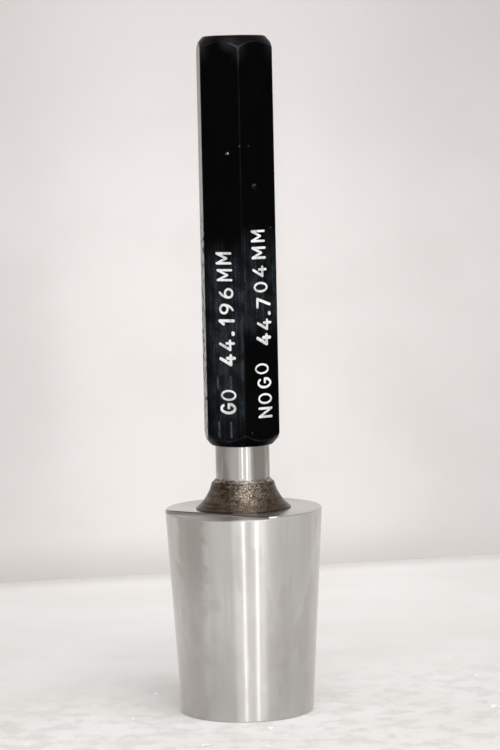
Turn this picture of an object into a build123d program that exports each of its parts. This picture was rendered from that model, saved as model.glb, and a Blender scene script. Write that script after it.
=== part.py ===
from build123d import *
import os
from math import sqrt, tan, radians

# Hand taper plug gauge. A hardened steel plug with a ground taper is pushed into a tapered hole,
# and the edge of the hole has to stop between two limit lands ground on the plug's large end.
# The plug's own shank is pressed into a handle of hexagonal aluminium bar.
# Millimetres. The origin is the centre of the plug's small end, on which the gauge stands,
# +Z runs up through the handle, and a corner of the handle points along -Y.

# Taper plug: its length to the GO land, and the further step to the NO GO land
go_length = 44.196
limit_step = 0.508
small_end_diameter = 28.96
taper_per_mm = 0.118  # growth of the diameter over each millimetre of length
rim_break = 0.2  # chamfer stoned on the plug's rims

# GO land: a segment of the large end, ground down beside the shoulder
land_bearing = 231.5  # degrees about +Z from +X, towards the middle of the segment
land_wall_gap = 0.25  # from the shoulder's foot to the upright wall of the step

# Shoulder, left rough from the hardening. Neck and shank above it are ground as one cylinder
shoulder_foot_diameter = 20.8
shoulder_height = 6.6
shoulder_flank_radius = 9.75
shoulder_chamfer = 0.95  # 45 degrees, from the flank up to the neck
shoulder_foot_wall = 0.15  # left standing where the wheel that ground the land stopped
shank_diameter = 11.8
neck_length = 7.36
shank_grip = 28.0  # length pressed into the handle
shank_lead = 0.8  # chamfer that leads the shank into the bore

# Centre holes: the gauge is ground between centres, and a guard chamfer protects each cone
centre_pilot_diameter = 2.5
centre_pilot_depth = 5.6
centre_cone_diameter = 5.3
centre_cone_angle = 60
centre_guard_diameter = 8.0
centre_guard_angle = 120

# Handle: hexagonal bar with a cone turned on each end
across_flats = 15.6
handle_length = 88.48
handle_corner_round = 0.5  # the bar's long edges
handle_face_diameter = 13.36  # where the turned cone would meet the end face
handle_cone_angle = 49  # degrees, between the cone's side and the end face
handle_face_round = 0.8  # rounds the cone over into the face
bore_end_space = 1.5  # air left beyond the shank
bore_mouth_chamfer = 0.15
drill_point_angle = 118

# Radii and heights that follow from the sizes above
nogo_length = go_length + limit_step
small_end_radius = small_end_diameter / 2
large_end_radius = small_end_radius + taper_per_mm * nogo_length / 2
shoulder_foot_radius = shoulder_foot_diameter / 2
shoulder_top = nogo_length + shoulder_height
shank_radius = shank_diameter / 2
handle_start = shoulder_top + neck_length
handle_end = handle_start + handle_length
shank_end = handle_start + shank_grip
bore_radius = shank_radius  # a press fit, drawn line to line
bore_end = shank_end + bore_end_space
handle_face_radius = handle_face_diameter / 2
handle_corner_radius = across_flats / sqrt(3)
handle_cone_run = (handle_corner_radius - handle_face_radius) * tan(radians(handle_cone_angle))

# Gauge plug: turned and ground from one bar
with BuildPart() as gauge_plug:
    with BuildSketch(Plane.XZ):
        with BuildLine():
            foot = Line((0, 0), (small_end_radius, 0))
            gauging_side = Line(foot @ 1, (large_end_radius, nogo_length))
            land = Line(gauging_side @ 1, (shoulder_foot_radius, nogo_length))
            foot_wall = Line(
                land @ 1, (shoulder_foot_radius, nogo_length + shoulder_foot_wall)
            )
            # The flank is hollow, as the turning tool left it
            flank = RadiusArc(
                foot_wall @ 1,
                (shank_radius + shoulder_chamfer, shoulder_top - shoulder_chamfer),
                shoulder_flank_radius,
            )
            shoulder_rim = Line(flank @ 1, (shank_radius, shoulder_top))
            shank = Line(shoulder_rim @ 1, (shank_radius, shank_end - shank_lead))
            lead = Line(shank @ 1, (shank_radius - shank_lead, shank_end))
            shank_face = Line(lead @ 1, (0, shank_end))
            Line(shank_face @ 1, foot @ 0)
        make_face()
    revolve(axis=Axis.Z)

    # The GO land: beyond its upright wall, the large end is ground down by the step
    go_land_plane = Plane(
        origin=(0, 0, go_length),
        x_dir=Vector(1, 0, 0).rotate(Axis.Z, land_bearing),
        z_dir=(0, 0, 1),
    )
    with BuildSketch(go_land_plane):
        with Locations((shoulder_foot_radius + land_wall_gap, 0)):
            Rectangle(
                large_end_radius, 2 * large_end_radius, align=(Align.MIN, Align.CENTER)
            )
    extrude(amount=limit_step, mode=Mode.SUBTRACT)

    # Of the level round edges, only the plug's rims are wider than the shoulder's foot
    rims = (
        gauge_plug.edges()
        .filter_by(GeomType.CIRCLE)
        .filter_by(Plane.XY)
        .filter_by(lambda edge: edge.radius > shoulder_foot_radius)
    )
    chamfer(rims, length=rim_break)

    both_ends = (
        Plane(origin=(0, 0, 0), z_dir=(0, 0, -1)),
        Plane(origin=(0, 0, shank_end), z_dir=(0, 0, 1)),
    )
    with Locations(*both_ends):
        CounterSinkHole(
            centre_pilot_diameter / 2,
            centre_cone_diameter / 2,
            centre_pilot_depth,
            centre_cone_angle,
        )
        CounterSinkHole(
            centre_pilot_diameter / 2,
            centre_guard_diameter / 2,
            centre_pilot_depth,
            centre_guard_angle,
        )
gauge_plug.part.label = "gauge_plug"

# Handle: the bar's corners are turned away at both ends, so each flat ends in a scallop
with BuildPart() as handle:
    with BuildSketch(Plane.XY.offset(handle_start)) as bar:
        RegularPolygon(across_flats / 2, 6, major_radius=False, rotation=30)
        fillet(bar.vertices(), handle_corner_round)
    extrude(amount=handle_length)

    with BuildSketch(Plane.XZ) as turned:
        with BuildLine():
            Polyline(
                (0, handle_start),
                (handle_face_radius, handle_start),
                (handle_corner_radius, handle_start + handle_cone_run),
                (handle_corner_radius, handle_end - handle_cone_run),
                (handle_face_radius, handle_end),
                (0, handle_end),
                close=True,
            )
        make_face()
        face_corners = turned.vertices().group_by(Axis.X)[1]
        fillet(face_corners, handle_face_round)
    revolve(axis=Axis.Z, mode=Mode.INTERSECT)

    # The blind bore takes the shank, and ends in the drill's point
    with BuildSketch(Plane.XZ):
        with BuildLine():
            drill_point_length = bore_radius / tan(radians(drill_point_angle / 2))
            Polyline(
                (0, handle_start),
                (bore_radius + bore_mouth_chamfer, handle_start),
                (bore_radius, handle_start + bore_mouth_chamfer),
                (bore_radius, bore_end),
                (0, bore_end + drill_point_length),
                close=True,
            )
        make_face()
    revolve(axis=Axis.Z, mode=Mode.SUBTRACT)
handle.part.label = "handle"

os.makedirs("parts", exist_ok=True)
export_step(gauge_plug.part, "parts/gauge_plug.step")
export_step(handle.part, "parts/handle.step")
for piece in (gauge_plug.part, handle.part):
    print(piece.label, "solids", len(piece.solids()), "volume", round(piece.volume, 1))
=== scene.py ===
# %% [markdown]
# # Dressing a taper plug gauge
#
# A taper plug gauge is a hand tool of the inspection bench. Its steel plug is pushed into a
# tapered hole, and the hole's edge has to stop between two ledges, called lands, that are
# ground on the plug's large end. The plug's shank is pressed into a black anodised hexagonal
# handle, which is stamped with what each land means.
#
# The CAD model already has the plug and the handle at their real size. This lesson gives
# them their finish: stamped and paint-filled lettering, worn anodising, ground steel, and
# the brown scale that hardening leaves where no wheel has been.

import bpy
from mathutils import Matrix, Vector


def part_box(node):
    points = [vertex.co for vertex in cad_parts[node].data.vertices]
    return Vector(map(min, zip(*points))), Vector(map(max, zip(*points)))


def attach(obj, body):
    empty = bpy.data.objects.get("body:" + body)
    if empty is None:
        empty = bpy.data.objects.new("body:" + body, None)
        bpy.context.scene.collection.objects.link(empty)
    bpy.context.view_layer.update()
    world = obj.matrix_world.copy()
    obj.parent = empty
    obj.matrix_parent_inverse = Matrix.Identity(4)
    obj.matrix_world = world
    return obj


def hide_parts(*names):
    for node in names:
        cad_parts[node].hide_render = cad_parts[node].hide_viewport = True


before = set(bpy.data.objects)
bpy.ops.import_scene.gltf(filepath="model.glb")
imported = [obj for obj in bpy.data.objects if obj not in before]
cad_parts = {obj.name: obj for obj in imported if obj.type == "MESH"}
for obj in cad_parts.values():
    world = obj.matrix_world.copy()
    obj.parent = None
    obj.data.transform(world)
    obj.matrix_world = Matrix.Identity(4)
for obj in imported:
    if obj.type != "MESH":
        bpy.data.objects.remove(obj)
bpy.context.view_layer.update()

# %% Everything else that the lesson uses
from math import cos, degrees, pi, radians, sin, sqrt, tan
from types import SimpleNamespace

import bmesh
import bpy
from mathutils import Matrix, Vector

MM = 0.001  # Blender's unit here is the metre, and a bench tool is drawn in millimetres

# %% [markdown]
# ## What is read from the frame, and what is repeated from the drawing
#
# The CAD nodes' boxes give the main sizes. Sizes inside a node, such as the width of the
# cone turned on the handle's ends, can't be read from a box, so they are repeated here.

# %% Main sizes
plug_low, plug_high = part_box("gauge_plug")
handle_low, handle_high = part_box("handle")
half_across_flats = handle_high.x
handle_start, handle_end = handle_low.z, handle_high.z
handle_corner_radius = 2 * half_across_flats / sqrt(3)
print("plug with its shank, mm:", round((plug_high.z - plug_low.z) / MM, 2))
print("handle across flats, mm:", round(2 * half_across_flats / MM, 2))
print("handle length, mm:", round((handle_end - handle_start) / MM, 2))

# %% Sizes repeated from the drawing
handle_corner_round = 0.5 * MM
handle_face_radius = 6.68 * MM
handle_cone_angle = radians(49)
handle_face_round = 0.8 * MM
bore_length = 29.5 * MM
neck_radius = 5.9 * MM

# The finishes work in millimetres, and only they use these
go_land_height = 44.196
nogo_land_height = 44.704
shoulder_top = 51.304
shoulder_chamfer = 0.95
land_bearing = 231.5  # degrees from +X towards +Y, to the middle of the GO land
land_wall = 10.65  # from the axis to the upright wall behind the GO land
land_corner = Vector((3.85, -16.67, 44.6))  # where the wall meets the rim, on the right
print("step between the lands, mm:", round(nogo_land_height - go_land_height, 3))

# %% [markdown]
# ## The camera
#
# A camera matched to a photograph comes first, because everything after it is judged
# through it. Its place and lens follow from the gauge's outline. The gauge is turned a
# little away from the lens, so the camera stands slightly to the left of the handle's front
# corner, about 60 cm away, and looks down by 5 degrees.

# %% Camera
camera_place = Vector((-59.74, -609.26, 129.04)) * MM
camera_heading = radians(84.21)  # from +X towards +Y
camera_pitch = radians(-5.162)
camera_roll = radians(-1.211)
picture_right = degrees(camera_heading) - 90  # the bearing of the picture's right-hand side

level_right = Vector((sin(camera_heading), -cos(camera_heading), 0))
forward = Vector((
    cos(camera_heading) * cos(camera_pitch),
    sin(camera_heading) * cos(camera_pitch),
    sin(camera_pitch),
))
level_up = level_right.cross(forward)
right = level_right * cos(camera_roll) + level_up * sin(camera_roll)
up = level_up * cos(camera_roll) - level_right * sin(camera_roll)


def add_object(name, data):
    added = bpy.data.objects.new(name, data)
    bpy.context.scene.collection.objects.link(added)
    return added


camera = add_object("camera", bpy.data.cameras.new("camera"))
turn = Matrix((right, up, -forward)).transposed().to_4x4()
camera.matrix_world = Matrix.Translation(camera_place) @ turn
camera.data.sensor_width = 36
camera.data.lens = 135.52
camera.data.clip_start = 0.01
camera.data.clip_end = 20
bpy.context.scene.camera = camera
print("camera to gauge, mm:", round(camera_place.xy.length / MM, 1))

# %% [markdown]
# ## Small tools for modelling
#
# Every operator works on what is selected, so each step starts from a clean selection. These
# helpers select one object, or the faces or edges that pass a test, and cut one solid with
# another.

# %% Selection
def work_on(piece):
    bpy.ops.object.select_all(action="DESELECT")
    piece.select_set(True)
    bpy.context.view_layer.objects.active = piece


def select_where(piece, kind, test):
    """In edit mode, selects the faces or edges that pass the test, and counts them."""
    bpy.ops.mesh.select_mode(type="FACE" if kind == "faces" else "EDGE")
    bpy.ops.mesh.select_all(action="DESELECT")
    shape = bmesh.from_edit_mesh(piece.data)
    chosen = [part for part in getattr(shape, kind) if test(part)]
    for part in chosen:
        part.select_set(True)
    bmesh.update_edit_mesh(piece.data)
    return len(chosen)


# %% A round or six-sided bar, standing on the axis
def add_bar(name, sides, radius, bottom, top):
    bpy.ops.object.select_all(action="DESELECT")
    bpy.ops.mesh.primitive_cylinder_add(
        vertices=sides, radius=radius, depth=top - bottom, location=(0, 0, (bottom + top) / 2)
    )
    bar = bpy.context.object
    bar.name = name
    bpy.ops.object.transform_apply(location=True, rotation=False, scale=False)
    return bar


# %% Solids that cut or join each other
def combine(piece, tools, operation):
    """Applies a Boolean with one or more closed solids, which are then removed."""
    work_on(piece)
    group = bpy.data.collections.new("tools")
    for tool in tools:
        group.objects.link(tool)
    cut = piece.modifiers.new("cut", "BOOLEAN")
    cut.solver = "MANIFOLD"
    cut.operation = operation
    cut.operand_type = "COLLECTION"
    cut.collection = group
    bpy.ops.object.modifier_apply(modifier=cut.name)
    for tool in tools:
        bpy.data.objects.remove(tool)
    bpy.data.collections.remove(group)
    print(piece.name, operation.lower(), "faces:", len(piece.data.polygons))


# %% [markdown]
# ## The handle
#
# The real handle is a length of drawn hexagonal bar. Its long corners have a small radius
# from the drawing die, both ends are turned in a lathe, which leaves a scallop on each flat,
# and it was polished before it was anodised, which rolls the sharp edges over.
#
# The scallops could be drawn on each flat by hand. Made in the order of the workshop, they
# come by themselves: a six-sided bar, its corners bevelled, cut to the shape that the lathe
# turns, bored for the shank, and its edges softened.

# %% Hexagonal bar with rounded corners
spare_length = 1 * MM
hex_handle = add_bar(
    "hex_handle", 6, handle_corner_radius, handle_start - spare_length, handle_end + spare_length
)
bpy.ops.object.mode_set(mode="EDIT")
long_edges = select_where(
    hex_handle, "edges", lambda edge: abs(edge.verts[0].co.z - edge.verts[1].co.z) > MM
)
bpy.ops.mesh.bevel(offset=handle_corner_round * tan(radians(30)), segments=6, affect="EDGES")
bpy.ops.object.mode_set(mode="OBJECT")
print("long edges rounded:", long_edges)

# %% The shape that the lathe turns, with a cone and a small radius at each end
turned_sides = 144
nearly_level = 0.9
cone_run = (handle_corner_radius - handle_face_radius) * tan(handle_cone_angle)
turned_shape = add_bar(
    "turned_shape", turned_sides, handle_corner_radius,
    handle_start + cone_run, handle_end - cone_run,
)
for level, way in ((handle_start, -1), (handle_end, 1)):
    bpy.ops.object.mode_set(mode="EDIT")
    select_where(turned_shape, "faces", lambda face: face.normal.z * way > nearly_level)
    bpy.ops.mesh.extrude_region_move(TRANSFORM_OT_translate={"value": (0, 0, way * cone_run)})
    shrink = handle_face_radius / handle_corner_radius
    bpy.ops.transform.resize(value=(shrink, shrink, 1), center_override=(0, 0, level))
    bpy.ops.mesh.region_to_loop()
    bpy.ops.mesh.bevel(
        offset=handle_face_round * tan(handle_cone_angle / 2), segments=5, affect="EDGES"
    )
    bpy.ops.object.mode_set(mode="OBJECT")
combine(hex_handle, [turned_shape], "INTERSECT")

# %% The bore, a hair wider than the neck so that a dark line shows between them
bore_clearance = 0.04 * MM
bore_sides = 96
bore_tool = add_bar(
    "bore_tool", bore_sides, neck_radius + bore_clearance,
    handle_start - spare_length, handle_start + bore_length,
)
combine(hex_handle, [bore_tool], "DIFFERENCE")

# %% Polishing rolls the scallops' edges over
polished_edge = 0.3 * MM
work_on(hex_handle)
polish = hex_handle.modifiers.new("polish", "BEVEL")
polish.width = polished_edge
polish.segments = 3
polish.limit_method = "ANGLE"
polish.angle_limit = radians(30)
polish.use_clamp_overlap = False
polish.miter_outer = "MITER_ARC"
bpy.ops.object.modifier_apply(modifier=polish.name)
print("polished handle, faces:", len(hex_handle.data.polygons))

# %% [markdown]
# ## Stamped characters
#
# Each character is struck into the soft bar with a hardened steel punch and a hammer, one
# after the other and by eye, so no two stand at quite the same height or go equally deep. A
# punch has a round-nosed edge, and its groove has round ends.
#
# A font could give the letters, but its strokes have flat sides and ends. So a character is
# drawn here as a few strokes in a box one unit high. A stroke is a curve with a round bevel
# whose radius falls away over its last points, which gives the round end. The words and
# figures are generic: GO and NOGO, and this gauge's own two limits in millimetres.

# %% Strokes of one character, in a box one unit high
def arc(middle, half_width, half_height, start, end, steps=18):
    """Points along part of an ellipse. Angles are in degrees, counterclockwise."""
    angles = [radians(start + (end - start) * step / steps) for step in range(steps + 1)]
    return [
        (middle[0] + half_width * cos(angle), middle[1] + half_height * sin(angle))
        for angle in angles
    ]


CHARACTERS = {
    "G": [
        arc((0.30, 0.5), 0.30, 0.5, 48, 325), [(0.57, 0.22), (0.58, 0.46)],
        [(0.58, 0.46), (0.34, 0.46)],
    ],
    "O": [arc((0.30, 0.5), 0.30, 0.5, 0, 360, 32)],
    "N": [[(0, 0), (0, 1)], [(0, 1), (0.56, 0)], [(0.56, 0), (0.56, 1)]],
    "M": [
        [(0, 0), (0, 1)], [(0, 1), (0.33, 0.3)], [(0.33, 0.3), (0.66, 1)], [(0.66, 1), (0.66, 0)],
    ],
    "0": [arc((0.28, 0.5), 0.28, 0.5, 0, 360, 32)],
    "1": [[(0.14, 0.74), (0.36, 1)], [(0.36, 1), (0.36, 0)]],
    "4": [[(0.40, 1), (0, 0.27)], [(0, 0.27), (0.60, 0.27)], [(0.43, 0.52), (0.43, 0)]],
    "6": [arc((0.28, 0.27), 0.28, 0.27, 0, 360, 28), arc((0.62, 0.27), 0.62, 0.73, 180, 118)],
    "7": [[(0, 1), (0.54, 1)], [(0.54, 1), (0.16, 0)]],
    "9": [arc((0.28, 0.73), 0.28, 0.27, 0, 360, 28), arc((-0.06, 0.73), 0.62, 0.73, 0, -62)],
    ".": [[(0.14, 0.06), (0.18, 0.06)]],
}
print("characters drawn:", " ".join(CHARACTERS))

# %% A stroke's path, with points added beyond its ends to taper it to a round tip
seam_gap = 0.0005 * MM  # a curve's end caps are separate until points this near are merged
tip_angles = [radians(angle) for angle in (20, 40, 60, 75, 88)]


def path_with_tips(points, radius):
    """The path, each point's share of the radius, and whether the path is a closed ring."""
    path = [Vector((x, y, 0)) for x, y in points]
    if (path[0] - path[-1]).length < seam_gap:
        return path[:-1], [1.0] * (len(path) - 1), True
    into = (path[0] - path[1]).normalized()
    out = (path[-1] - path[-2]).normalized()
    before = [path[0] + into * radius * sin(angle) for angle in reversed(tip_angles)]
    after = [path[-1] + out * radius * sin(angle) for angle in tip_angles]
    tapers = [cos(angle) for angle in tip_angles]
    return before + path + after, tapers[::-1] + [1.0] * len(path) + tapers, False


# %% One stroke as a closed solid, round like the groove
def make_stroke(points, radius):
    """points are in metres. A stroke that ends where it starts is a closed ring."""
    path, shares, closed = path_with_tips(points, radius)
    curve = bpy.data.curves.new("stroke", "CURVE")
    curve.dimensions = "3D"
    curve.bevel_depth = radius
    curve.bevel_resolution = 3
    curve.use_fill_caps = True
    spline = curve.splines.new("POLY")
    spline.points.add(len(path) - 1)
    for point, place, share in zip(spline.points, path, shares):
        point.co = (*place, 1)
        point.radius = share
    spline.use_cyclic_u = closed
    work_on(add_object("stroke", curve))
    bpy.ops.object.convert(target="MESH")
    stroke = bpy.context.object
    bpy.ops.object.mode_set(mode="EDIT")
    bpy.ops.mesh.select_all(action="SELECT")
    bpy.ops.mesh.remove_doubles(threshold=seam_gap)
    bpy.ops.mesh.normals_make_consistent(inside=False)
    bpy.ops.object.mode_set(mode="OBJECT")
    return stroke


# %% A line of characters, laid out flat: reading along X, tops along Y
stroke_height = 3.2 * MM  # from the middle of the bottom stroke to the middle of the top one
groove_lift = 0.05 * MM  # the strokes' centre line stands this far above the flat


def lay_out_line(name, characters):
    """characters: (character, middle along X, middle along Y, stroke radius) each, in mm."""
    strokes = []
    for letter, along, across, radius in characters:
        lines = CHARACTERS[letter]
        width = max(x for line in lines for x, y in line)
        middle = 0.0 if letter == "." else 0.5
        for line in lines:
            placed = [
                (
                    along * MM + (x - width / 2) * stroke_height,
                    across * MM + (y - middle) * stroke_height,
                )
                for x, y in line
            ]
            strokes.append(make_stroke(placed, radius * MM))
    for stroke in strokes:
        stroke.data.transform(Matrix.Translation((0, 0, groove_lift)))
    punches = strokes[0]
    punches.name = name
    combine(punches, strokes[1:], "UNION")
    return punches


# %% [markdown]
# The two lines read upwards along the handle's front flats, with the tops of the letters to
# the left. The heights along the handle and the small shifts are those of a hand at work: a
# hard blow on the first figure and the point, a light one on the round letters.

# %% The two lines: character, place along the handle, shift across it, stroke radius, in mm
go_line = [
    ("G", 67.2, -0.45, 0.33),
    ("O", 70.1, -0.60, 0.25),
    ("4", 77.7, -0.55, 0.37),
    ("4", 80.9, -0.45, 0.31),
    (".", 83.2, -2.15, 0.44),
    ("1", 85.6, -0.50, 0.35),
    ("9", 88.7, -0.62, 0.29),
    ("6", 92.1, -0.36, 0.28),
    ("M", 96.0, -0.20, 0.27),
    ("M", 99.6, -0.05, 0.29),
]
nogo_line = [
    ("N", 66.1, -0.80, 0.29),
    ("O", 69.1, -0.78, 0.25),
    ("G", 72.5, -0.68, 0.29),
    ("O", 75.6, -0.09, 0.24),
    ("4", 81.9, -0.75, 0.38),
    ("4", 85.1, -0.95, 0.31),
    (".", 87.3, -2.55, 0.40),
    ("7", 89.8, -0.85, 0.33),
    ("0", 93.2, -0.20, 0.26),
    ("4", 96.6, 0.02, 0.30),
    ("M", 100.6, 0.15, 0.30),
    ("M", 104.2, 0.30, 0.27),
]


# %% Where a flat's line goes
left_flat, right_flat = -30, 30  # which way each front flat faces, in degrees from -Y towards +X


def flat_placement(facing):
    """Takes X to the part's +Z, and Z out of the flat that faces this way."""
    angle = radians(facing)
    outward = Vector((sin(angle), -cos(angle), 0))
    across = Vector((cos(angle), sin(angle), 0))
    axes = Matrix((Vector((0, 0, 1)), -across, outward)).transposed().to_4x4()
    return Matrix.Translation(outward * half_across_flats) @ axes


# %% [markdown]
# ## Cutting the grooves and filling them with paint
#
# White paint is rubbed over the stamping and wiped off the flat, so it stays only in the
# grooves, a little below the metal. The strokes of a line are joined into one solid, which
# then serves twice: as the punches that cut the handle, and, where it lies below the flat,
# as the paint.

# %% Grooves and paint
paint_below_flat = 0.03 * MM
block_length, block_width, block_depth = 0.4, 20 * MM, 2 * MM  # room for any line of characters


def add_block(name, top):
    """A block whose top stands at this height over the flat that the characters lie on."""
    bpy.ops.object.select_all(action="DESELECT")
    bpy.ops.mesh.primitive_cube_add(size=1, location=(0, 0, 0))
    block = bpy.context.object
    block.name = name
    block.data.transform(Matrix.Diagonal((block_length, block_width, block_depth, 1)))
    block.data.transform(Matrix.Translation((0, 0, top - block_depth / 2)))
    return block


def stamp(name, characters, facing):
    punches = lay_out_line(name + "_punches", characters)
    punches.data.transform(flat_placement(facing))
    paint = add_block(name, -paint_below_flat)
    paint.data.transform(flat_placement(facing))
    groove_tool = add_object("groove_tool", punches.data.copy())
    combine(hex_handle, [groove_tool], "DIFFERENCE")
    combine(paint, [punches], "INTERSECT")
    return paint


go_paint = stamp("go_paint", go_line, left_flat)
nogo_paint = stamp("nogo_paint", nogo_line, right_flat)

# %% [markdown]
# ## Small marks of use
#
# The handle of this gauge has a chip and a dent on its front flats, and a few smaller nicks,
# from knocks in a drawer. Each is pressed in here with a ball that stands mostly outside the
# flat, and is coloured later by its finish.

# %% Nicks: the flat, place along the handle, place across the flat, radius, all in mm
nicks = [
    (left_flat, 122.0, 1.56, 0.36),
    (right_flat, 114.7, -0.94, 0.50),
    (right_flat, 105.9, 3.13, 0.20),
    (right_flat, 61.9, -2.79, 0.18),
]
ball_radius = 0.9 * MM


def on_flat(facing, along, across):
    """The point on a flat, from millimetres along the handle and across the flat."""
    return flat_placement(facing) @ Vector((along * MM, -across * MM, 0))


balls = []
for facing, along, across, radius in nicks:
    outward = flat_placement(facing).to_3x3() @ Vector((0, 0, 1))
    stand_off = sqrt(ball_radius**2 - (radius * MM)**2)
    centre = on_flat(facing, along, across) + outward * stand_off
    bpy.ops.mesh.primitive_ico_sphere_add(subdivisions=4, radius=ball_radius, location=centre)
    bpy.ops.object.transform_apply(location=True, rotation=False, scale=False)
    balls.append(bpy.context.object)
combine(hex_handle, balls, "DIFFERENCE")

# %% Flats keep a flat shading beside their rounded corners
work_on(hex_handle)
bpy.ops.object.shade_smooth_by_angle(angle=radians(30))
weighted = hex_handle.modifiers.new("weighted", "WEIGHTED_NORMAL")
weighted.keep_sharp = True
weighted.weight = 100
bpy.ops.object.modifier_apply(modifier=weighted.name)
print("handle, faces:", len(hex_handle.data.polygons))


# %% [markdown]
# ## Small tools for materials
#
# A finish is a small network of nodes. `add_node` makes one and sets its options, and `feed`
# gives a socket a number, a colour or another node's output. The steps that every finish
# repeats stand on these two. Many of them make a mask, which is 1 in one area of the surface
# and 0 elsewhere. A step that starts from an output finds the network through its `id_data`.

# %% Nodes
def new_finish(name):
    finish = bpy.data.materials.new(name)
    finish.use_nodes = True
    return finish, finish.node_tree, finish.node_tree.nodes["Principled BSDF"]


def add_node(tree, kind, **options):
    node = tree.nodes.new(kind)
    for option, value in options.items():
        setattr(node, option, value)
    return node


def feed(socket, value):
    """Links the socket to another node's output, or sets it. A colour is red, green, blue."""
    if isinstance(value, bpy.types.NodeSocket):
        socket.id_data.links.new(value, socket)
    elif socket.type == "RGBA":
        socket.default_value = (*value, 1)
    else:
        socket.default_value = value


def feed_all(node, *values, **named):
    """Feeds a node's first inputs in their order, and others by name, with _ for a space."""
    for socket, value in zip(node.inputs, values):
        feed(socket, value)
    for name, value in named.items():
        feed(node.inputs[name.replace("_", " ")], value)
    return node


# %% Sums, products and smooth ramps
def maths(operation, first, second=0.0):
    node = add_node(first.id_data, "ShaderNodeMath", operation=operation)
    return feed_all(node, first, second).outputs[0]


def product(result, *others):
    """All the values multiplied. For masks, the area that they share."""
    for other in others:
        result = maths("MULTIPLY", result, other)
    return result


def either(result, *others):
    """The largest of the masks."""
    for other in others:
        result = maths("MAXIMUM", result, other)
    return result


def ramp(value, start, end, low=0.0, high=1.0):
    """low where the value is at start, high where it is at end, and a smooth change between."""
    node = add_node(value.id_data, "ShaderNodeMapRange", interpolation_type="SMOOTHSTEP")
    return feed_all(node, value, start, end, low, high).outputs["Result"]


def band(value, low, high, soft):
    """1 where the value lies between low and high, with soft edges."""
    above = ramp(value, low - soft, low + soft)
    return product(above, ramp(value, high + soft, high - soft))


# %% Choices by mask, and coats laid over each other
def choose(mask, outside, inside):
    return ramp(mask, 0, 1, outside, inside)


def blend(amount, first, second):
    """Mixes two colours."""
    node = add_node(amount.id_data, "ShaderNodeMix", data_type="RGBA")
    feed(node.inputs[0], amount)
    feed(node.inputs[6], first)
    feed(node.inputs[7], second)
    return node.outputs[2]


def coats(colour, *layers):
    """Lays coats over the colour. Each is a mask and the coat's own colour."""
    for mask, coat in layers:
        colour = blend(mask, colour, coat)
    return colour


def levels(value, *layers):
    """The same for a plain value, such as the roughness."""
    for mask, inside in layers:
        value = choose(mask, value, inside)
    return value


# %% Where a point lies on the gauge, and which way its surface faces
def shared_node(tree, name, kind, **options):
    """The tree's node of this name, made when it is first asked for."""
    return tree.nodes.get(name) or add_node(tree, kind, name=name, **options)


def on_gauge(tree, what="Object"):
    """The point's place in the part's own frame, or its Normal there."""
    return shared_node(tree, "gauge", "ShaderNodeTexCoord").outputs[what]


def axes_of(tree):
    """The point's x, y and z, in millimetres."""
    scaled = shared_node(tree, "millimetres", "ShaderNodeVectorMath", operation="SCALE")
    feed_all(scaled, on_gauge(tree), Scale=1 / MM)
    split = shared_node(tree, "axes", "ShaderNodeSeparateXYZ")
    return feed_all(split, scaled.outputs[0]).outputs[:3]


def upward_share(tree):
    """1 where the surface faces up, 0 where it is upright and -1 where it faces down."""
    split = shared_node(tree, "facing", "ShaderNodeSeparateXYZ")
    return feed_all(split, on_gauge(tree, "Normal")).outputs[2]


# %% Bearings and distances
def along_bearing(tree, bearing):
    """How far the point lies from the axis in a direction given in degrees from +X towards +Y."""
    x, y, z = axes_of(tree)
    return maths("ADD", product(x, cos(radians(bearing))), product(y, sin(radians(bearing))))


def bearing_of(tree):
    """Which way from the axis the point lies, in degrees from -180 to 180, +X towards +Y."""
    x, y, z = axes_of(tree)
    return product(maths("ARCTAN2", y, x), degrees(1))


def distance_from_axis(tree):
    x, y, z = axes_of(tree)
    level_place = feed_all(add_node(tree, "ShaderNodeCombineXYZ"), x, y).outputs[0]
    length = add_node(tree, "ShaderNodeVectorMath", operation="LENGTH")
    return feed_all(length, level_place).outputs["Value"]


# %% Noise that can be stretched, and bumps
noise_start = (0.37, 0.61, 0.23)  # keeps the planes of the noise's own grid off the axis


def noise(tree, size, detail=3.0, roughness=0.5, shift=0.0):
    """Noise whose features are about size millimetres along x, y and z."""
    start = tuple(shift + part for part in noise_start)
    scale = tuple(1 / (length * MM) for length in size)
    scaling = add_node(tree, "ShaderNodeMapping")
    feed_all(scaling, on_gauge(tree), Location=start, Scale=scale)
    node = add_node(tree, "ShaderNodeTexNoise")
    feed_all(node, scaling.outputs[0], Scale=1.0, Detail=detail, Roughness=roughness)
    return node.outputs["Fac"]


def patches(tree, size, start, end, low=0.0, high=1.0, **grain):
    """Noise gathered by a ramp into patches of low and of high."""
    return ramp(noise(tree, size, **grain), start, end, low, high)


def bump(shader, height, depth):
    """Raises the surface where the height is 1, by the depth in millimetres."""
    node = add_node(shader.id_data, "ShaderNodeBump")
    feed_all(node, Height=height, Distance=depth * MM, Strength=1.0)
    feed_all(shader, Normal=node.outputs[0])


# %% A round spot
def spot(tree, centre, radius, ragged=0.0, soft=0.2):
    """1 inside a ball round the centre, 0 outside it, both in millimetres.

    The edge is soft over a share of the radius on each side, and noise can make it ragged.
    """
    gap = add_node(tree, "ShaderNodeVectorMath", operation="DISTANCE")
    length = feed_all(gap, on_gauge(tree), centre * MM).outputs["Value"]
    reach = radius * MM
    if ragged:
        shake = maths("SUBTRACT", noise(tree, (0.3, 0.3, 0.3), shift=2), 0.5)
        length = maths("ADD", length, product(shake, ragged * reach))
    return ramp(length, (1 + soft) * reach, (1 - soft) * reach)


def flat_spot(tree, facing, along, across, radius, ragged=0.0):
    """A spot on one of the handle's flats, all in millimetres."""
    return spot(tree, on_flat(facing, along, across) / MM, radius, ragged)


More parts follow.
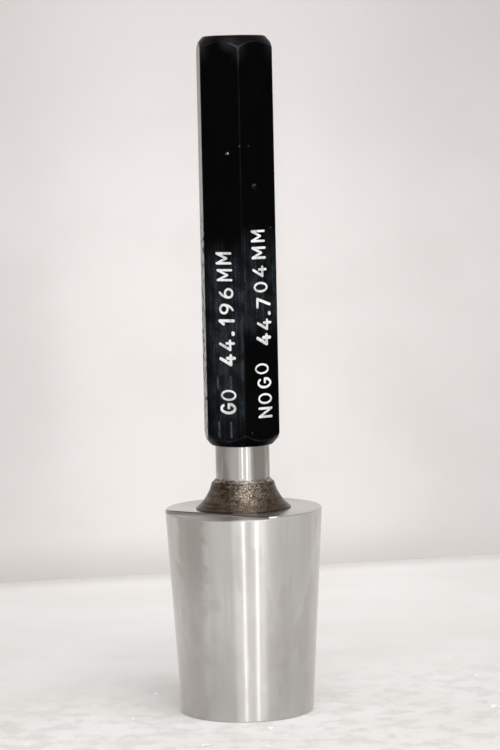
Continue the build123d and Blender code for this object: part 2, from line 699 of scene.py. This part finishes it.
# %% [markdown]
# ## Black anodising
#
# Anodising is a glassy layer grown on the aluminium and dyed, so the handle is not painted
# and keeps the bar's drawn lines. It is nearly black, with a satin gloss, a faint blue haze
# of wiped-off paint round the figures, paler corners where hands and benches rub it, and
# painted highlight on the upper turned end, the rolled edges and the corners' tops.
#
# A picture wrapped round the bar could show all this, but it would stretch at the turned
# ends. Here each mark is a coat of colour with its own mask, placed by where the point lies
# on the gauge, so it can be moved or made fainter by itself.

# %% The haze of wiped-off paint
def wiped_haze(tree, drawn_lines):
    """Streaks along the stamped stretch of the front flats, and a little on the others."""
    x, y, z = axes_of(tree)
    on_right_flat = ramp(x, -0.3, 0.3)
    from_left_foot = ramp(z, 55, 75)
    from_right_word = ramp(z, 80, 89)
    above_start = choose(on_right_flat, from_left_foot, from_right_word)
    haze_end = choose(on_right_flat, 105, 108)
    below_end = ramp(maths("SUBTRACT", haze_end, z), 0, 12)
    front_flats = ramp(y, -4.4, -4.6, 0.15, 1)
    streaks = ramp(drawn_lines, 0.38, 0.68, 0.35, 1)
    smears = patches(tree, (2.2, 2.2, 4), 0.36, 0.64, 0.3, 1, detail=5, shift=13)
    grain = patches(tree, (0.28, 0.28, 0.35), 0.38, 0.62, 0.5, 1, shift=17)
    left_fade = ramp(x, -6.2, -7.6, 1, 0.25)
    right_fade = ramp(x, 1.5, 7, 1, 0.55)
    stretch = product(above_start, below_end, front_flats)
    return product(stretch, streaks, smears, grain, left_fade, right_fade)


# %% The turned ends are a little greyer, partly as painted sheen, and their edges partly painted highlight
def end_marks(tree):
    """The turned ends, the upper one with painted sheen, and their edges, partly rubbed and
    partly painted highlight, in patches.
    """
    x, y, z = axes_of(tree)
    tilt = maths("ABSOLUTE", upward_share(tree))
    # painted sheen: the upper turned end is lighter than the lower one
    sheen_stronger_at_top = ramp(z, 80, 120, 0.15, 1)
    patchy = patches(tree, (2.4, 2.4, 2.4), 0.40, 0.60, 0.25, 1, detail=4, shift=19)
    # the edges' painted highlight fades towards the right
    sheen_fainter_right = ramp(x, 1, 4, 1, 0.5)
    turned = product(ramp(tilt, 0.5, 0.62), sheen_stronger_at_top)
    return turned, product(band(tilt, 0.10, 0.48, 0.10), patchy, sheen_fainter_right)


# %% The six long corners are the part of the bar that stands furthest from its axis
rubbed_reach = (8.82, 8.93)  # distances from the axis
# distances from the axis of the painted highlight beside the corners' tops and along their ends
highlight_reach = (7.95, 8.95)
lit_end_reach = (8.85, 8.94)
# the painted highlight is brightest here
cusp_place = Vector((-0.6, -8.6, 144.9))  # where the front corner meets two scallops
thumb_place = Vector((-1.9, -8.0, 145.8))  # a rub on the turned end, left of the cusp


def corner_marks(tree, worn_and_lit_edges):
    """The rubbed corners, and painted highlight beside their tops, along their ends and at the
    cusp.
    """
    x, y, z = axes_of(tree)
    reach = distance_from_axis(tree)
    patchy = patches(tree, (1.2, 1.2, 3.5), 0.35, 0.75, detail=5, shift=7)
    rubbed = product(ramp(reach, *rubbed_reach), patchy)
    # painted highlight: soft grey beside the corners' tops, fainter on the right
    top = product(ramp(x, -0.1, 0.25, 1, 0.8), ramp(z, 140.5, 146))
    painted_light = product(ramp(reach, *highlight_reach), top)
    # painted highlight along the corners' top ends, with a spot at the front cusp
    lines = either(ramp(z, 139.5, 142.5, 0, 0.18), ramp(z, 143, 145.6))
    brighter_left = ramp(x, -0.2, 0.5, 0.36, 0.12)
    cusp = product(worn_and_lit_edges, spot(tree, cusp_place, 1.6), brighter_left)
    return rubbed, painted_light, either(product(ramp(reach, *lit_end_reach), lines), cusp)


# %% Two faint pairs of scuffs along the left flat, below the words and after the first one
scuffs = [  # place across the flat, lower end and upper end, in mm
    (-1.8, 60.9, 64.4),
    (1.05, 60.9, 64.4),
    (-1.88, 71.5, 74.1),
    (1.2, 71.5, 74.1),
]
scuff_half_width = 0.22


def scuff_marks(tree):
    x, y, z = axes_of(tree)
    on_left_flat = band(along_bearing(tree, left_flat - 90), 7.6, 8, 0.1)
    place_across = along_bearing(tree, left_flat)
    marks = []
    for middle, low, high in scuffs:
        line = band(place_across, middle - scuff_half_width, middle + scuff_half_width, 0.12)
        marks.append(product(line, band(z, low, high, 0.3)))
    broken = patches(tree, (0.5, 0.5, 0.8), 0.35, 0.6, 0.25, 0.9, detail=4, shift=4)
    return product(either(*marks), on_left_flat, broken)


# %% Bare metal in the chip and the nicks: the flat, place along and across, radius, in mm
bare_chip = (left_flat, 122.0, 1.62, 0.24)
chip_tail = (left_flat, 121.9, 1.20, 0.22)
pale_specks = [
    (right_flat, 105.9, 3.13, 0.16),
    (right_flat, 61.9, -2.79, 0.16),
    (left_flat, 123.5, 4.35, 0.19),
    (right_flat, 123.5, -2.3, 0.15),
]
dent_bottom = (right_flat, 114.45, -0.86, 0.56)
dent_outline = (right_flat, 114.85, -0.98, 0.54)


def faint_nicks(tree):
    specks = [flat_spot(tree, *speck) for speck in pale_specks]
    return either(flat_spot(tree, *chip_tail, ragged=0.9), *specks)


def dent_lip(tree):
    """The crescent that is left of the dent's outline when its bottom is taken away."""
    outline = flat_spot(tree, *dent_outline)
    return maths("SUBTRACT", outline, flat_spot(tree, *dent_bottom))


# %% [markdown]
# The gloss is uneven too. The flat that faces left has kept more of it than the others, but
# has lost it in patches lower down. So the roughness gets coats of its own.

# %% The anodising's gloss
def anodised_roughness(tree, clouds):
    x, y, z = axes_of(tree)
    left_side = ramp(x, -7.2, -7.5)
    low_down = ramp(z, 112, 104)
    dull = product(patches(tree, (1.5, 2.5, 1.6), 0.52, 0.62, shift=25), low_down, left_side)
    satin = ramp(clouds, 0.3, 0.7, 0.20, 0.30)
    return levels(satin, (left_side, 0.12), (dull, 0.4))


# %% The handle's finish
def black_anodised():
    finish, tree, shader = new_finish("black_anodised")
    drawn_lines = noise(tree, (0.35, 0.35, 30), detail=4)
    clouds = noise(tree, (5, 5, 9))
    turned, worn_and_lit_edges = end_marks(tree)
    rubbed, painted_light, lit_corner_ends = corner_marks(tree, worn_and_lit_edges)
    black = blend(clouds, (0.0003, 0.0003, 0.0004), (0.0009, 0.0010, 0.0014))
    colour = coats(
        black,
        (wiped_haze(tree, drawn_lines), (0.042, 0.052, 0.060)),
        # the turned ends are partly painted sheen, and the rolled edges partly painted highlight
        (turned, (0.004, 0.004, 0.0055)),
        (worn_and_lit_edges, (0.017, 0.017, 0.0195)),
        (rubbed, (0.0024, 0.0024, 0.0028)),
        # painted highlight beside the corners' tops
        (painted_light, (0.015, 0.015, 0.0165)),
        (spot(tree, thumb_place, 1.7, soft=0.8), (0.015, 0.015, 0.017)),
        # painted highlight along the corners' top ends and at the cusp
        (lit_corner_ends, (0.108, 0.108, 0.12)),
        (scuff_marks(tree), (0.068, 0.076, 0.084)),
        (product(faint_nicks(tree), 0.16), (0.3, 0.3, 0.3)),
        (product(dent_lip(tree), 0.15), (0.3, 0.3, 0.3)),
        (flat_spot(tree, *bare_chip, ragged=0.9), (0.33, 0.33, 0.32)),
    )
    gloss = anodised_roughness(tree, clouds)
    feed_all(shader, Base_Color=colour, Roughness=gloss, Specular_IOR_Level=0.03)
    bump(shader, drawn_lines, 0.004)
    return finish


# %% [markdown]
# ## Paint in the grooves
#
# The fill is a matt white enamel. It is thin in some strokes, where the metal greys it, holds
# dust, mostly there, and is slightly uneven where the cloth dragged it. A coarse noise picks
# the thin strokes, and a fine one the dust.

# %% The paint's finish
def white_paint():
    finish, tree, shader = new_finish("white_paint")
    dust = patches(tree, (0.35, 0.35, 0.35), 0.46, 0.66, detail=4)
    thin = patches(tree, (3, 3, 3), 0.42, 0.60, detail=2, shift=21)
    dusty = product(dust, choose(thin, 0.3, 0.8))
    colour = coats((0.85, 0.85, 0.84), (thin, (0.62, 0.63, 0.63)), (dusty, (0.30, 0.31, 0.32)))
    feed_all(shader, Base_Color=colour, Roughness=choose(dust, 0.5, 0.7))
    bump(shader, noise(tree, (0.25, 0.25, 0.25)), 0.02)
    return finish


# %% [markdown]
# ## Steel: ground, and left as hardened
#
# The plug is one piece of steel with four surfaces. The taper and the neck are ground on a
# cylindrical grinder, whose wheel leaves fine lines round the axis. The two lands are ground
# flat and almost mirror the shoulder. The shoulder itself was never ground, and keeps the
# brown scale of the furnace, with the chamfer above it half cleaned.
#
# Four materials could share the piece, but their borders would have to follow its faces, and
# scale creeps over an edge. So one material carries all four, and picks between them by
# height and by which way the surface faces.

# %% Where the lands, their rims and the wall between them are
between_lands = 44.4  # a height above the GO land and below the NO GO land


def land_areas(tree):
    """A painted highlight lies on the NO GO land's rim beside the wall's right end."""
    x, y, z = axes_of(tree)
    slope = upward_share(tree)
    level = ramp(maths("ABSOLUTE", slope), 0.90, 0.99)
    low_level = band(z, between_lands - 0.4, between_lands, 0.05)
    below = ramp(z, between_lands, between_lands - 0.1)
    above = ramp(z, between_lands, between_lands + 0.1)
    right_of_wall = ramp(x, land_corner.x - 0.1, land_corner.x + 0.1)
    nogo_rim = product(band(slope, 0.4, 0.85, 0.1), above)
    wall_gap = maths("SUBTRACT", along_bearing(tree, land_bearing), land_wall)
    at_wall = ramp(maths("ABSOLUTE", wall_gap), 0.08, 0.04)
    return SimpleNamespace(
        level=level,
        go_land=product(level, low_level),
        go_rim=product(band(slope, 0.5, 0.8, 0.1), below),
        # painted highlight on the NO GO rim near the wall's right end
        painted_rim_glint=product(nogo_rim, right_of_wall, spot(tree, land_corner, 2.2)),
        wall=product(at_wall, band(z, go_land_height + 0.03, nogo_land_height - 0.03, 0.02)),
    )


# %% The strip that the wheel left unground, between the shoulder's front and the wall
def unground_strip(tree, level):
    """The strip, and the part of the shoulder's foot with little painted shadow beside it."""
    x, y, z = axes_of(tree)
    land_heights = band(z, nogo_land_height - 0.05, nogo_land_height + 0.05, 0.02)
    in_front = ramp(y, -5, -6)
    rightwards = along_bearing(tree, picture_right)
    strip = product(level, land_heights, band(rightwards, -7, 2.8, 0.08), in_front)
    return strip, product(band(rightwards, -2.4, 2.7, 0.3), in_front)


# %% Where the shoulder, its chamfer and the neck are. The scale creeps onto the neck's foot
def shoulder_areas(tree):
    x, y, z = axes_of(tree)
    creep = noise(tree, (0.7, 0.7, 0.5), detail=4, shift=9)
    drift = product(maths("SUBTRACT", creep, 0.5), 1.4)
    ragged_height = maths("ADD", z, drift)
    chamfer_foot = shoulder_top - shoulder_chamfer
    above_lands = ramp(z, nogo_land_height + 0.004, nogo_land_height + 0.012)
    below_neck = ramp(ragged_height, shoulder_top + 0.15, shoulder_top - 0.15)
    shoulder = product(above_lands, below_neck)
    above_foot = ramp(z, chamfer_foot + 0.28, chamfer_foot + 0.40)
    return SimpleNamespace(
        shoulder=shoulder,
        chamfer=product(shoulder, above_foot),
        chamfer_line=band(z, chamfer_foot + 0.08, chamfer_foot + 0.26, 0.06),
        neck=ramp(z, shoulder_top - 0.2, shoulder_top),
        creep=creep,
    )


# %% [markdown]
# The ground taper isn't one grey. It has clouds of polish, strips down its length, a film left
# by handling and a thumb's stain at the front left. Painted shade darkens a thin band between
# the two streaks and the small end, less so at the front. Each is a coat over the bare steel.

# %% The taper's colour
thumb_bearings = (-154, -128)
# the small end's painted shade is weaker at these bearings
less_shade_bearings = (-104, -80)  # here the small end is less dull
# a narrow band of painted shade between the two streaks
shade_band_bearings = (-95, -90)


def taper_colour(tree, clouds, wander):
    x, y, z = axes_of(tree)
    bearing = bearing_of(tree)
    film = patches(tree, (6, 6, 13), 0.49, 0.55, detail=4, shift=11)
    strips = patches(tree, (1.6, 1.6, 70), 0.40, 0.62, detail=2, shift=14)
    ragged_bearing = maths("ADD", bearing, product(wander, 34))
    thumbed = band(ragged_bearing, *thumb_bearings, 5)
    thumbed = product(thumbed, ramp(z, 22, 38, 0.42, 0.9))
    front_height = ramp(z, 28, 42, 0, 0.6)
    ragged_height = maths("ADD", z, product(wander, 16))
    # painted shade: darker towards the small end, less so at the front
    painted_light = ramp(ragged_height, 24, 6, 0, 0.55)
    less_shade_in_front = choose(band(bearing, *less_shade_bearings, 6), 1, 0.45)
    polish = ramp(clouds, 0.3, 0.7)
    return coats(
        blend(polish, (0.62, 0.61, 0.60), (0.69, 0.68, 0.665)),
        (product(film, 0.6), (0.57, 0.55, 0.525)),
        (product(strips, 0.30), (0.56, 0.535, 0.51)),
        (thumbed, (0.46, 0.435, 0.41)),
        # a thin band of painted shade between the streaks, and painted shade at the small end
        (product(band(bearing, *shade_band_bearings, 2), front_height), (0.47, 0.46, 0.45)),
        (product(painted_light, less_shade_in_front), (0.47, 0.455, 0.44)),
    )


# %% The wall's colour, with its dark upper edge, and the neck's
neck_shade_bearings = (-74, -40)


def wall_colour(tree):
    x, y, z = axes_of(tree)
    towards_left = ramp(along_bearing(tree, land_bearing - 90), 1, 5)
    ground = blend(towards_left, (0.66, 0.63, 0.59), (0.70, 0.67, 0.64))
    dark_edge = ramp(z, nogo_land_height - 0.22, nogo_land_height - 0.16)
    return blend(dark_edge, ground, (0.10, 0.095, 0.09))


def neck_colour(tree):
    """Stained in patches, with painted shade all round but for the front, most at the right."""
    x, y, z = axes_of(tree)
    stain_and_shade = patches(tree, (2.5, 2.5, 14), 0.38, 0.62, shift=8)
    # painted shade: less of it at the front, and more in a band at the right
    stain_and_shade = product(stain_and_shade, ramp(y, -5.7, -4.4, 0.1, 1))
    stain_and_shade = either(stain_and_shade, band(bearing_of(tree), *neck_shade_bearings, 5))
    return blend(stain_and_shade, (0.54, 0.525, 0.505), (0.33, 0.305, 0.28))


# %% [markdown]
# Scale is a brown-black skin, redder low down. It kept the rings of the turning tool, and it
# is worn through to the steel in many fine spots, most of them in one patch at the front,
# which is partly wear and partly painted highlight.

# %% Where the scale is worn, with a front patch that is partly painted highlight
# the front patch, partly wear and partly painted highlight, and its brightest place
wear_and_highlight_bearings = (-121, -54)
highlight_place = Vector((1.3, -7.4, 48.8))


def wear_and_highlight_patches(tree, wander):
    x, y, z = axes_of(tree)
    ragged_bearing = maths("ADD", bearing_of(tree), product(wander, 60))
    behind = ramp(y, 0, 3)
    at_back = product(patches(tree, (5, 5, 3), 0.50, 0.60, shift=15), behind)
    return either(band(ragged_bearing, *wear_and_highlight_bearings, 11), at_back)


def bare_spots(tree, areas, spots, skin, wear_and_highlight, foot_shadow):
    """The share of bare steel: spots in the worn and painted-highlight patches, and most of the
    chamfer.
    """
    x, y, z = axes_of(tree)
    share = ramp(maths("ADD", skin, areas.chamfer), 0.3, 1.2, 0.0, 0.06)
    # painted highlight: more bare spots round the brightest place at the front
    painted_highlight = product(spot(tree, highlight_place, 2.8), 0.025)
    share = maths("ADD", share, painted_highlight)
    bare = product(
        ramp(maths("ADD", spots, share), 0.53, 0.64),
        choose(wear_and_highlight, 0.14, 0.9),
        ramp(z, 46, 48, 0.55, 1),
        # fewer bare spots along the painted shadow at the foot
        ramp(foot_shadow, 0, 0.8, 0.9, 0.1),
    )
    half_cleaned = product(areas.chamfer, ramp(areas.creep, 0.40, 0.60))
    return either(bare, half_cleaned)


# %% The scale's dark lines: the tool's rings, a painted shadow at the shoulder's foot, below the chamfer
def shoulder_foot_shadow(tree, beside_strip):
    x, y, z = axes_of(tree)
    # painted shadow: a dark line along the shoulder's foot, faint beside the unground strip
    line = ramp(z, nogo_land_height + 0.50, nogo_land_height + 0.15, 0, 0.8)
    return product(line, choose(beside_strip, 1, 0.1))


def dark_lines(areas, rings, wear_and_highlight, foot_shadow):
    turned = ramp(rings, 0.35, 0.65, 0, choose(wear_and_highlight, 0.75, 0.3))
    return either(turned, foot_shadow, product(areas.chamfer_line, 0.6))


# %% The scale's colour
def scale_colour(tree, areas, skin, wear_and_highlight, lines, bare):
    x, y, z = axes_of(tree)
    low_down = ramp(z, 47.5, 45)
    brown = ramp(skin, 0.35, 0.65)
    bare_colour = blend(areas.chamfer, (0.72, 0.655, 0.57), (0.50, 0.465, 0.42))
    return coats(
        blend(brown, (0.050, 0.034, 0.020), (0.19, 0.137, 0.094)),
        (product(low_down, 0.6), (0.13, 0.086, 0.062)),
        (product(wear_and_highlight, 0.35), (0.045, 0.031, 0.020)),
        (lines, (0.020, 0.014, 0.009)),
        (bare, bare_colour),
    )


# %% [markdown]
# The wheel's lines smear a lamp into an upright streak. They are too fine for a bump, so the
# gloss is made anisotropic, round the axis. Scale is rougher, and its skin is bumpy.

# %% The plug's gloss
def steel_roughness(tree, clouds, lands, areas, bare, strip):
    x, y, z = axes_of(tree)
    fine_top = ramp(z, 28, 42, 1, 0.9)
    ground = product(ramp(clouds, 0.3, 0.7, 0.235, 0.255), fine_top)
    return levels(
        ground,
        (areas.neck, 0.20),
        (lands.level, 0.14),
        (either(lands.wall, lands.go_land), 0.32),
        (areas.shoulder, choose(bare, 0.42, 0.28)),
        (strip, 0.6),
    )


# %% The plug's finish
def ground_steel():
    finish, tree, shader = new_finish("ground_steel")
    clouds = noise(tree, (9, 9, 14), roughness=0.45)
    spots = noise(tree, (0.26, 0.26, 0.20), detail=4, roughness=0.7)
    skin = noise(tree, (1.6, 1.6, 1.0), detail=5, roughness=0.6, shift=3)
    rings = noise(tree, (12, 12, 0.22), detail=2, shift=5)
    shake = noise(tree, (3.5, 3.5, 4), detail=5, roughness=0.6, shift=23)
    wander = maths("SUBTRACT", shake, 0.5)

    lands = land_areas(tree)
    areas = shoulder_areas(tree)
    strip, beside_strip = unground_strip(tree, lands.level)
    wear_and_highlight = wear_and_highlight_patches(tree, wander)
    foot_shadow = shoulder_foot_shadow(tree, beside_strip)
    lines = dark_lines(areas, rings, wear_and_highlight, foot_shadow)
    bare = bare_spots(tree, areas, spots, skin, wear_and_highlight, foot_shadow)
    strip_spots = ramp(spots, 0.52, 0.62)
    colour = coats(
        taper_colour(tree, clouds, wander),
        (lands.level, (0.40, 0.395, 0.385)),
        (lands.go_land, (0.42, 0.405, 0.375)),
        (lands.go_rim, (0.54, 0.52, 0.495)),
        (lands.wall, wall_colour(tree)),
        # a painted highlight, nearly white, on the NO GO rim by the wall's right end
        (lands.painted_rim_glint, (1, 0.99, 0.97)),
        (areas.neck, neck_colour(tree)),
        (areas.shoulder, scale_colour(tree, areas, skin, wear_and_highlight, lines, bare)),
        (strip, blend(strip_spots, (0.105, 0.072, 0.055), (0.24, 0.19, 0.155))),
    )
    gloss = steel_roughness(tree, clouds, lands, areas, bare, strip)
    metal_in_scale = choose(bare, 0.85, 1)
    metal = levels(1.0, (lands.level, 0.85), (areas.shoulder, metal_in_scale), (strip, 0))
    feed_all(shader, Base_Color=colour, Roughness=gloss, Metallic=metal)
    around = add_node(tree, "ShaderNodeTangent", direction_type="RADIAL", axis="Z")
    feed_all(shader, Tangent=around.outputs[0], Anisotropic=1.0, Anisotropic_Rotation=0.25)
    rough_skin = maths("ADD", spots, product(rings, 0.8))
    bump(shader, product(rough_skin, areas.shoulder), 0.06)
    return finish


# %% Give each piece its finish
def dress(piece, finish):
    piece.data.materials.clear()
    piece.data.materials.append(finish)
    print(piece.name, "wears", finish.name, "with nodes:", len(finish.node_tree.nodes))


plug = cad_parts["gauge_plug"]
plug.material_slots[0].material = ground_steel()
dress(hex_handle, black_anodised())
paint = white_paint()
dress(go_paint, paint)
dress(nogo_paint, paint)

# %% [markdown]
# ## The stage
#
# The gauge stands on a white-painted bench in front of a pale cloth. Both are stage, not part
# of the gauge. The bench is turned a little, so that its far edge slopes, and it dims to the
# sides, as under a wide lamp. The cloth is seen from its front only: from behind it is clear,
# so that the gauge can be looked at from every side.

# %% A plain sheet for the stage
bench_depth = 190  # millimetres behind the gauge, to the foot of the cloth
stage_heading = camera_heading + radians(13)  # the bench is not quite square to the camera
away = Vector((cos(stage_heading), sin(stage_heading), 0))
sideways = Vector((sin(stage_heading), -cos(stage_heading), 0))


def add_sheet(name, start, end, half_width):
    """An oblong from the middle of one edge to the middle of the edge across from it."""
    aside = sideways * half_width
    corners = [start - aside, start + aside, end + aside, end - aside]
    mesh = bpy.data.meshes.new(name)
    mesh.from_pydata(corners, [], [(0, 1, 2, 3)])
    sheet = add_object(name, mesh)
    print(name, "metres:", 2 * half_width, "x", round((end - start).length, 3))
    return sheet


# %% How the stage's colours show and fall off
seen_by = ("Camera", "Glossy", "Transmission")


def show_as_backdrop(shader, colour, strength):
    """Adds a little of the colour for the camera and reflections, and casts no light."""
    path = add_node(shader.id_data, "ShaderNodeLightPath")
    seen = either(*(path.outputs[f"Is {ray} Ray"] for ray in seen_by))
    feed_all(shader, Emission_Color=colour, Emission_Strength=product(seen, strength))


def dim_to_the_sides(tree, colour, middle, near, far, share):
    """Paints shade: darkens the colour by a share of it towards the picture's left and right."""
    aside = maths("SUBTRACT", along_bearing(tree, picture_right), middle)
    dimming = ramp(maths("ABSOLUTE", aside), near, far, 0, share)
    return blend(dimming, colour, (0, 0, 0))


# %% The bench
bench_front, bench_back, half_bench = 0.4, 1.5, 1.5  # metres from the gauge
bench = add_sheet("bench", -away * bench_front, away * bench_back, half_bench)


# %% The bench's paint: patched, dabs and white specks near the gauge, painted light behind and in front
def white_bench():
    finish, tree, shader = new_finish("white_bench")
    depth = along_bearing(tree, degrees(stage_heading))
    near = ramp(depth, 60, 0)
    dabs = patches(tree, (6, 6, 6), 0.46, 0.64, detail=7, roughness=0.68, shift=1)
    dabs = product(dabs, near)
    specks = patches(tree, (2.6, 7, 3), 0.70, 0.74, detail=2, shift=6)
    colour = coats(
        (0.83, 0.82, 0.805),
        (patches(tree, (50, 35, 40), 0.35, 0.65, detail=4), (0.78, 0.765, 0.745)),
        # painted light: lighter behind and in front of the gauge
        (ramp(depth, 40, 120, 0, 0.4), (0.90, 0.885, 0.87)),
        (ramp(depth, 0, -60, 0, 0.5), (0.90, 0.885, 0.87)),
        (product(dabs, 0.7), (0.70, 0.685, 0.665)),
        (product(specks, near), (1, 1, 1)),
    )
    colour = dim_to_the_sides(tree, colour, 0, 30, 95, 0.08)
    foot_shade = ramp(depth, bench_depth - 16, bench_depth, 0, 0.6)
    colour = blend(foot_shade, colour, (0.64, 0.615, 0.60))
    feed_all(shader, Base_Color=colour, Roughness=0.9, Specular_IOR_Level=0.2)
    bump(shader, dabs, 0.15)
    show_as_backdrop(shader, colour, 0.09)
    return finish


dress(bench, white_bench())

# %% The cloth
cloth_height, half_cloth = 0.9, 0.6
cloth_foot = away * bench_depth * MM
cloth_top = cloth_foot + Vector((0, 0, cloth_height))
cloth = add_sheet("cloth", cloth_foot, cloth_top, half_cloth)


# %% The cloth's finish: painted shade upwards, to the sides and at its foot
def clear_from_behind(tree, shader):
    behind = add_node(tree, "ShaderNodeNewGeometry").outputs["Backfacing"]
    clear = add_node(tree, "ShaderNodeBsdfTransparent").outputs[0]
    side = feed_all(add_node(tree, "ShaderNodeMixShader"), behind, shader.outputs[0], clear)
    feed_all(tree.nodes["Material Output"], side.outputs[0])


def pale_cloth():
    finish, tree, shader = new_finish("pale_cloth")
    x, y, z = axes_of(tree)
    colour = coats(
        (0.765, 0.74, 0.725),
        (patches(tree, (40, 40, 30), 0.35, 0.65, detail=4), (0.73, 0.705, 0.69)),
        # painted shade, darker upwards
        (ramp(z, 80, 180, 0, 0.8), (0.60, 0.57, 0.565)),
    )
    colour = dim_to_the_sides(tree, colour, -10, 10, 90, 0.18)
    foot_shade = ramp(z, 13, 0, 0, 0.75)
    colour = blend(foot_shade, colour, (0.58, 0.555, 0.54))
    feed_all(shader, Base_Color=colour, Roughness=0.8)
    show_as_backdrop(shader, colour, 0.05)
    clear_from_behind(tree, shader)
    return finish


dress(cloth, pale_cloth())

# %% [markdown]
# ## Light
#
# The room is bright and even, so most of the light is the world's own. Two narrow upright
# lamps stand beside the camera, one almost in line with it and one to its right. They draw
# the two bright streaks on the ground steel and the bright line on the handle's front corner.
#
# Those two alone would leave hard edges and dark sides. So a wider lamp softens the right
# streak, a broad one in front and a weak one at the left lift the taper's left half, and one
# overhead lights the lands, the shoulder and the bench.

# %% The room
world = bpy.data.worlds.new("room")
bpy.context.scene.world = world
world.use_nodes = True
feed_all(world.node_tree.nodes["Background"], Color=(0.95, 0.93, 0.92), Strength=0.47)


# %% The lamps
def add_lamp(name, bearing, size, power, distance=1.2, height=0.36, aim_height=0.36):
    """A soft oblong lamp that faces the gauge. The bearing is from the camera's, to its right."""
    light = bpy.data.lights.new(name, "AREA")
    light.shape = "RECTANGLE"
    light.size, light.size_y = size
    light.energy = power
    lamp = add_object(name, light)
    angle = camera_heading + pi + radians(bearing)
    lamp.location = Vector((cos(angle), sin(angle), 0)) * distance + Vector((0, 0, height))
    aim = Vector((0, 0, aim_height)) - lamp.location
    lamp.rotation_euler = aim.to_track_quat("-Z", "Y").to_euler()
    print(name, "watts:", power)


add_lamp("lamp_by_camera", bearing=-1, size=(0.03, 0.7), power=1)
add_lamp("lamp_right", bearing=19, size=(0.055, 0.7), power=1.3)
add_lamp("halo_right", bearing=30, size=(0.25, 0.7), power=0.6)
add_lamp("soft_front", bearing=7, size=(1.2, 0.7), power=3.4, distance=1.3)
add_lamp("soft_left", bearing=-36, size=(0.6, 0.7), power=0.35)
add_lamp(
    "soft_overhead", bearing=24, size=(1.2, 1.2), power=9.5,
    distance=0.8, height=1.0, aim_height=0.05,
)

bpy.context.scene.view_settings.view_transform = "Standard"

# %% [markdown]
# ## Hand over
#
# Each new piece rides on the gauge's one body, and the modelled handle stands in for the CAD
# handle, which is hidden.

# %% Hand over
for piece in (hex_handle, go_paint, nogo_paint):
    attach(piece, "root")
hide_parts("handle")
